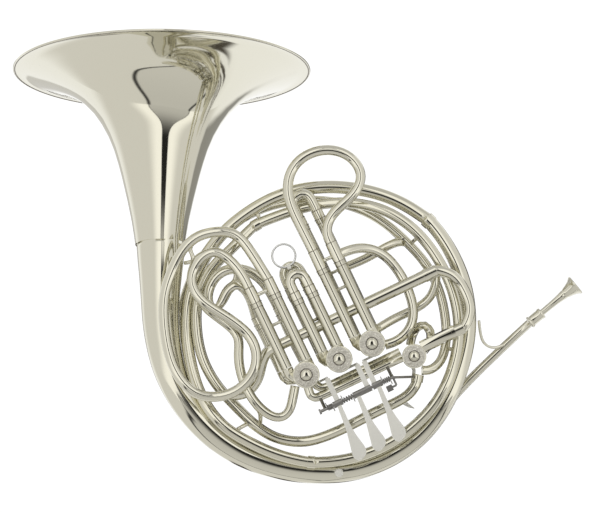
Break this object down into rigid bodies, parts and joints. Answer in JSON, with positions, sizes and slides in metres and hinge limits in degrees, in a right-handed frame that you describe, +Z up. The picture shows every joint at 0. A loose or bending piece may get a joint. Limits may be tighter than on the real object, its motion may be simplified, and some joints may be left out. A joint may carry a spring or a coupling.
{
  "type": "double french horn",
  "caption": "Double horn with an upturned bell, coiled tubes, four rotary valves with levers, seven slides and a mouthpiece on a leadpipe.",
  "frame": {"origin": "the left hand's grip, on the axis of the bell branch low on the right of the ring of tubes", "axes": "+Z up, +X to the right of the viewer who looks at the valve caps, towards the mouthpiece, +Y away from that viewer, along the valve axes"},
  "size_m": [0.5933, 0.3014, 0.4716],
  "materials": {
    "nickel_silver": "polished",
    "satin_nickel": "satin, turned",
    "dark_steel": "satin, darkened",
    "steel_wire": "bright"
  },
  "bodies": {
    "horn_body": {"bell": "nickel_silver", "bell_branch": "nickel_silver", "outer_branch": "nickel_silver", "middle_branch": "nickel_silver", "inner_branch": "nickel_silver", "leadpipe": "nickel_silver", "lead_branch": "nickel_silver", "mouthpiece_receiver": "nickel_silver", "leadpipe_wire_brace": "nickel_silver", "tuning_crossover_tube": "nickel_silver", "link_tube_front": "nickel_silver", "link_tube_rear": "nickel_silver", "third_valve_branch": "nickel_silver", "first_valve_loop": "nickel_silver", "change_valve_tube": "nickel_silver", "return_tube": "nickel_silver", "hinge_rod": "dark_steel", "thumb_pin": "dark_steel", "first_lever_spring": "dark_steel", "second_lever_spring": "dark_steel", "third_lever_spring": "dark_steel", "first_valve_casing": "nickel_silver", "first_valve_cap": "satin_nickel", "first_valve_bearing_plate": "satin_nickel", "second_valve_casing": "nickel_silver", "second_valve_cap": "satin_nickel", "second_valve_bearing_plate": "satin_nickel", "third_valve_casing": "nickel_silver", "third_valve_cap": "satin_nickel", "third_valve_bearing_plate": "satin_nickel", "change_valve_casing": "nickel_silver", "change_valve_cap": "satin_nickel", "change_valve_bearing_plate": "satin_nickel", "first_f_sleeves": "nickel_silver", "second_f_sleeves": "nickel_silver", "third_f_sleeves": "nickel_silver", "first_bflat_sleeves": "nickel_silver", "second_bflat_sleeves": "nickel_silver", "third_bflat_sleeves": "nickel_silver"},
    "first_rotor": {"first_valve_rotor": "satin_nickel", "first_valve_stop_arm": "satin_nickel"},
    "second_rotor": {"second_valve_rotor": "satin_nickel", "second_valve_stop_arm": "satin_nickel"},
    "third_rotor": {"third_valve_rotor": "satin_nickel", "third_valve_stop_arm": "satin_nickel"},
    "change_rotor": {"change_valve_rotor": "satin_nickel", "change_valve_stop_arm": "satin_nickel"},
    "first_f_slide": {"first_f_slide": "nickel_silver"},
    "second_f_slide": {"second_f_slide": "nickel_silver"},
    "third_f_slide": {"third_f_slide": "nickel_silver"},
    "first_bflat_slide": {"first_bflat_slide": "nickel_silver"},
    "second_bflat_slide": {"second_bflat_slide": "nickel_silver"},
    "third_bflat_slide": {"third_bflat_slide": "nickel_silver"},
    "main_tuning_slide": {"main_tuning_slide": "nickel_silver"},
    "first_lever": {"first_lever": "satin_nickel"},
    "second_lever": {"second_lever": "satin_nickel"},
    "third_lever": {"third_lever": "satin_nickel"},
    "thumb_lever": {"thumb_lever": "satin_nickel"},
    "pull_ring": {"pull_ring": "steel_wire"},
    "mouthpiece": {"mouthpiece": "nickel_silver"}
  },
  "joints": [
    {"name": "first_rotor_turn", "type": "hinge", "parent": "horn_body", "child": "first_rotor", "pos_m": [-0.02718, -0.029, 0.11385], "axis": [0, 1, 0], "range_deg": [0, 90]},
    {"name": "second_rotor_turn", "type": "hinge", "parent": "horn_body", "child": "second_rotor", "pos_m": [-0.06121, -0.029, 0.09761], "axis": [0, -1, 0], "range_deg": [0, 90]},
    {"name": "third_rotor_turn", "type": "hinge", "parent": "horn_body", "child": "third_rotor", "pos_m": [-0.09523, -0.029, 0.08138], "axis": [0, -1, 0], "range_deg": [0, 90]},
    {"name": "change_rotor_turn", "type": "hinge", "parent": "horn_body", "child": "change_rotor", "pos_m": [0.01655, -0.029, 0.10069], "axis": [0, 1, 0], "range_deg": [0, 90]},
    {"name": "first_lever_press", "type": "hinge", "parent": "horn_body", "child": "first_lever", "pos_m": [-0.02117, -0.051, 0.07151], "axis": [0.9026, 0, 0.4305], "range_deg": [0, 6.5], "stiffness_Nm_per_rad": 0.3, "springref_deg": -11.46},
    {"name": "second_lever_press", "type": "hinge", "parent": "horn_body", "child": "second_lever", "pos_m": [-0.04211, -0.051, 0.06152], "axis": [0.9026, 0, 0.4305], "range_deg": [0, 6.5], "stiffness_Nm_per_rad": 0.3, "springref_deg": -11.46},
    {"name": "third_lever_press", "type": "hinge", "parent": "horn_body", "child": "third_lever", "pos_m": [-0.06214, -0.051, 0.05196], "axis": [0.9026, 0, 0.4305], "range_deg": [0, 6.5], "stiffness_Nm_per_rad": 0.3, "springref_deg": -11.46},
    {"name": "thumb_lever_press", "type": "hinge", "parent": "horn_body", "child": "thumb_lever", "pos_m": [0.01509, 0.0155, 0.06491], "axis": [0, -1, 0], "range_deg": [0, 12], "stiffness_Nm_per_rad": 0.2, "springref_deg": -11.46},
    {"name": "first_f_slide_draw", "type": "slide", "parent": "horn_body", "child": "first_f_slide", "axis": [-0.4305, 0, 0.9026], "range_m": [0, 0.05]},
    {"name": "second_f_slide_draw", "type": "slide", "parent": "horn_body", "child": "second_f_slide", "axis": [-0.4305, 0, 0.9026], "range_m": [0, 0.038]},
    {"name": "third_f_slide_draw", "type": "slide", "parent": "horn_body", "child": "third_f_slide", "axis": [-0.4305, 0, 0.9026], "range_m": [0, 0.05]},
    {"name": "first_bflat_slide_draw", "type": "slide", "parent": "horn_body", "child": "first_bflat_slide", "axis": [-0.4305, 0, 0.9026], "range_m": [0, 0.05]},
    {"name": "second_bflat_slide_draw", "type": "slide", "parent": "horn_body", "child": "second_bflat_slide", "axis": [-0.4305, 0, 0.9026], "range_m": [0, 0.038]},
    {"name": "third_bflat_slide_draw", "type": "slide", "parent": "horn_body", "child": "third_bflat_slide", "axis": [-0.4305, 0, 0.9026], "range_m": [0, 0.036]},
    {"name": "main_tuning_slide_draw", "type": "slide", "parent": "horn_body", "child": "main_tuning_slide", "axis": [0.9026, 0, 0.4305], "range_m": [0, 0.025]},
    {"name": "mouthpiece_pull", "type": "slide", "parent": "horn_body", "child": "mouthpiece", "axis": [0.7702, 0, 0.6378], "range_m": [0, 0.012]},
    {"name": "pull_ring_swing", "type": "hinge", "parent": "second_bflat_slide", "child": "pull_ring", "pos_m": [-0.1131, -0.0225, 0.19329], "axis": [0.9026, 0, 0.4305], "range_deg": [-55, 55]}
  ],
  "couplings": [
    {"joint": "first_lever_press", "follows": "first_rotor_turn", "ratio": 0.072222},
    {"joint": "second_lever_press", "follows": "second_rotor_turn", "ratio": 0.072222},
    {"joint": "third_lever_press", "follows": "third_rotor_turn", "ratio": 0.072222},
    {"joint": "thumb_lever_press", "follows": "change_rotor_turn", "ratio": 0.13333}
  ]
}
